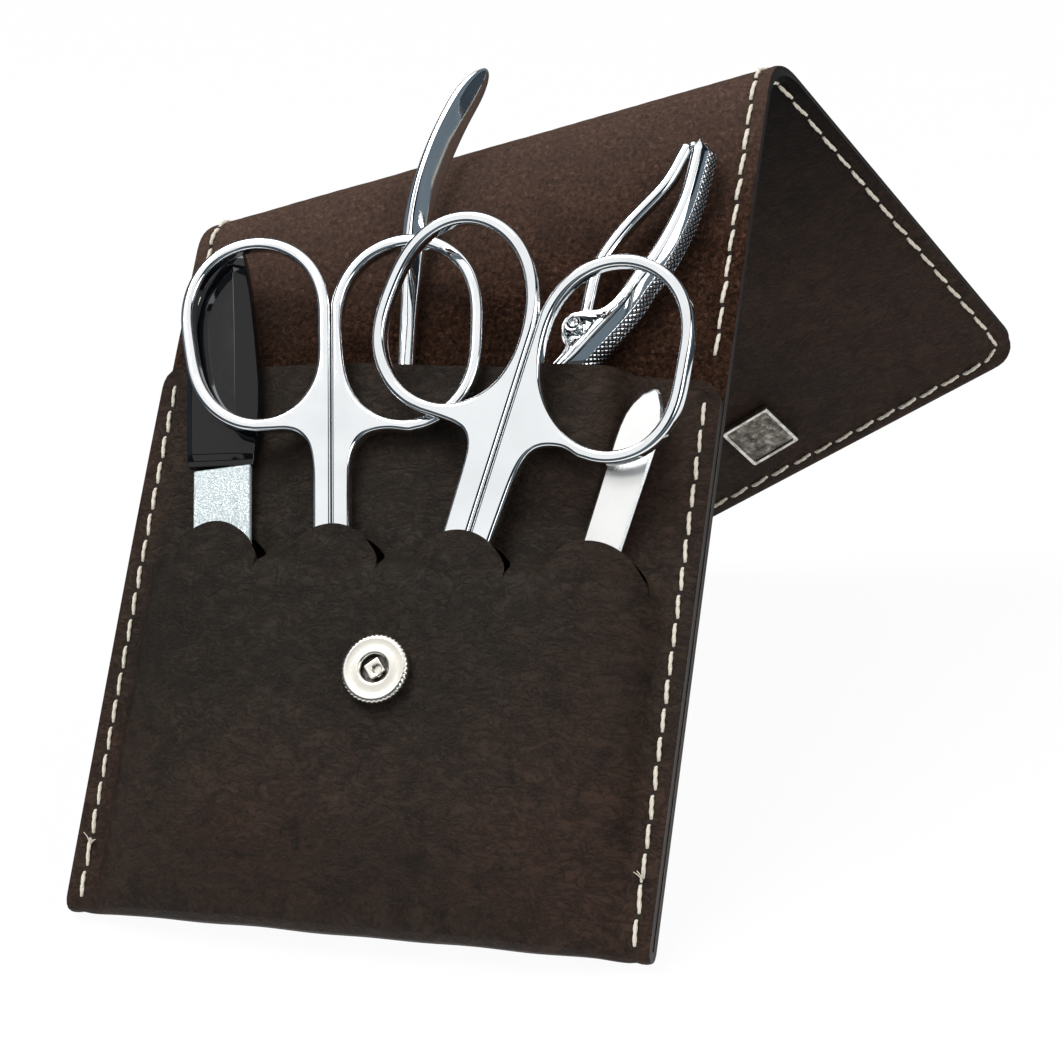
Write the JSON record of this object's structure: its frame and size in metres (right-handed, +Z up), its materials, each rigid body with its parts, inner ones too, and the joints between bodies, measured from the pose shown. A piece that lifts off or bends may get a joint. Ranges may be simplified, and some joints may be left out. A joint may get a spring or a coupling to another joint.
{
  "type": "manicure set case",
  "caption": "Folded leather manicure case standing open on its bent-back flap, with scissors, file, cleaner, pusher and nippers drawn up in its tabbed pocket.",
  "frame": {"origin": "centre of the standing case's box, on the ground it stands on", "axes": "+Z up; +X to the right across the pocket as seen from the front; -Y towards the pocket front, so the pocket leans back towards +Y and the flap stands behind"},
  "size_m": [0.122, 0.1402, 0.1058],
  "materials": {
    "leather_brown": "dark brown pebbled grain outside, suede inside",
    "bright_nickel": "bright nickel",
    "dark_nickel": "dark antique nickel",
    "polished_steel": "polished",
    "satin_steel": "satin",
    "black_gloss": "high gloss black",
    "file_grit": "fine sparkling grit"
  },
  "bodies": {
    "case": {"case_leather": "leather_brown", "ridge_leather": "leather_brown", "stud_disc": "bright_nickel", "stud_insert": "bright_nickel", "stud_rivet": "bright_nickel"},
    "flap": {"flap_leather": "leather_brown", "flap_cap": "dark_nickel", "flap_socket": "bright_nickel"},
    "nail_file": {"file_handle": "black_gloss", "file_blade": "file_grit"},
    "nail_scissors": {"nail_scissors_left_half": "polished_steel", "nail_scissors_screw": "satin_steel"},
    "nail_scissors_turning": {"nail_scissors_right_half": "polished_steel"},
    "cuticle_scissors": {"cuticle_scissors_left_half": "polished_steel", "cuticle_scissors_screw": "satin_steel"},
    "cuticle_scissors_turning": {"cuticle_scissors_right_half": "polished_steel"},
    "cleaner": {"nail_cleaner": "satin_steel"},
    "pusher": {"cuticle_pusher": "polished_steel"},
    "nippers": {"nipper_grip": "satin_steel", "nipper_rivet": "satin_steel"},
    "nippers_turning": {"nipper_lever": "polished_steel"}
  },
  "joints": [
    {"name": "flap_fold", "type": "hinge", "parent": "case", "child": "flap", "pos_m": [-0.01486, 0.02313, 0.0869], "axis": [0.9531, 0.2044, 0.223], "range_deg": [-50, 108], "deforming": ["ridge_leather"]},
    {"name": "file_draw", "type": "slide", "parent": "case", "child": "nail_file", "axis": [-0.1736, 0.6655, 0.726], "range_m": [-0.004, 0.04]},
    {"name": "nail_scissors_draw", "type": "slide", "parent": "case", "child": "nail_scissors", "axis": [-0.165, 0.6561, 0.7364], "range_m": [0, 0.045]},
    {"name": "nail_scissors_open", "type": "hinge", "parent": "nail_scissors", "child": "nail_scissors_turning", "pos_m": [-0.02407, -0.03902, 0.0404], "axis": [-0.0195, 0.7443, -0.6675], "range_deg": [0, 8]},
    {"name": "cuticle_scissors_draw", "type": "slide", "parent": "case", "child": "cuticle_scissors", "axis": [0.2145, 0.5564, 0.8027], "range_m": [0, 0.045]},
    {"name": "cuticle_scissors_open", "type": "hinge", "parent": "cuticle_scissors", "child": "cuticle_scissors_turning", "pos_m": [-0.00677, -0.03879, 0.03925], "axis": [0.0286, 0.8179, -0.5746], "range_deg": [0, 9]},
    {"name": "cleaner_draw", "type": "slide", "parent": "case", "child": "cleaner", "axis": [0.2071, 0.5942, 0.7772], "range_m": [-0.008, 0.038]},
    {"name": "pusher_draw", "type": "slide", "parent": "case", "child": "pusher", "axis": [-0.1045, 0.6784, 0.7272], "range_m": [-0.01, 0.042]},
    {"name": "nippers_draw", "type": "slide", "parent": "case", "child": "nippers", "axis": [0.0523, 0.6748, 0.7361], "range_m": [0, 0.018]},
    {"name": "nippers_open", "type": "hinge", "parent": "nippers", "child": "nippers_turning", "pos_m": [0.00803, -0.00424, 0.07228], "axis": [0, -0.7372, 0.6757], "range_deg": [0, 6]}
  ]
}
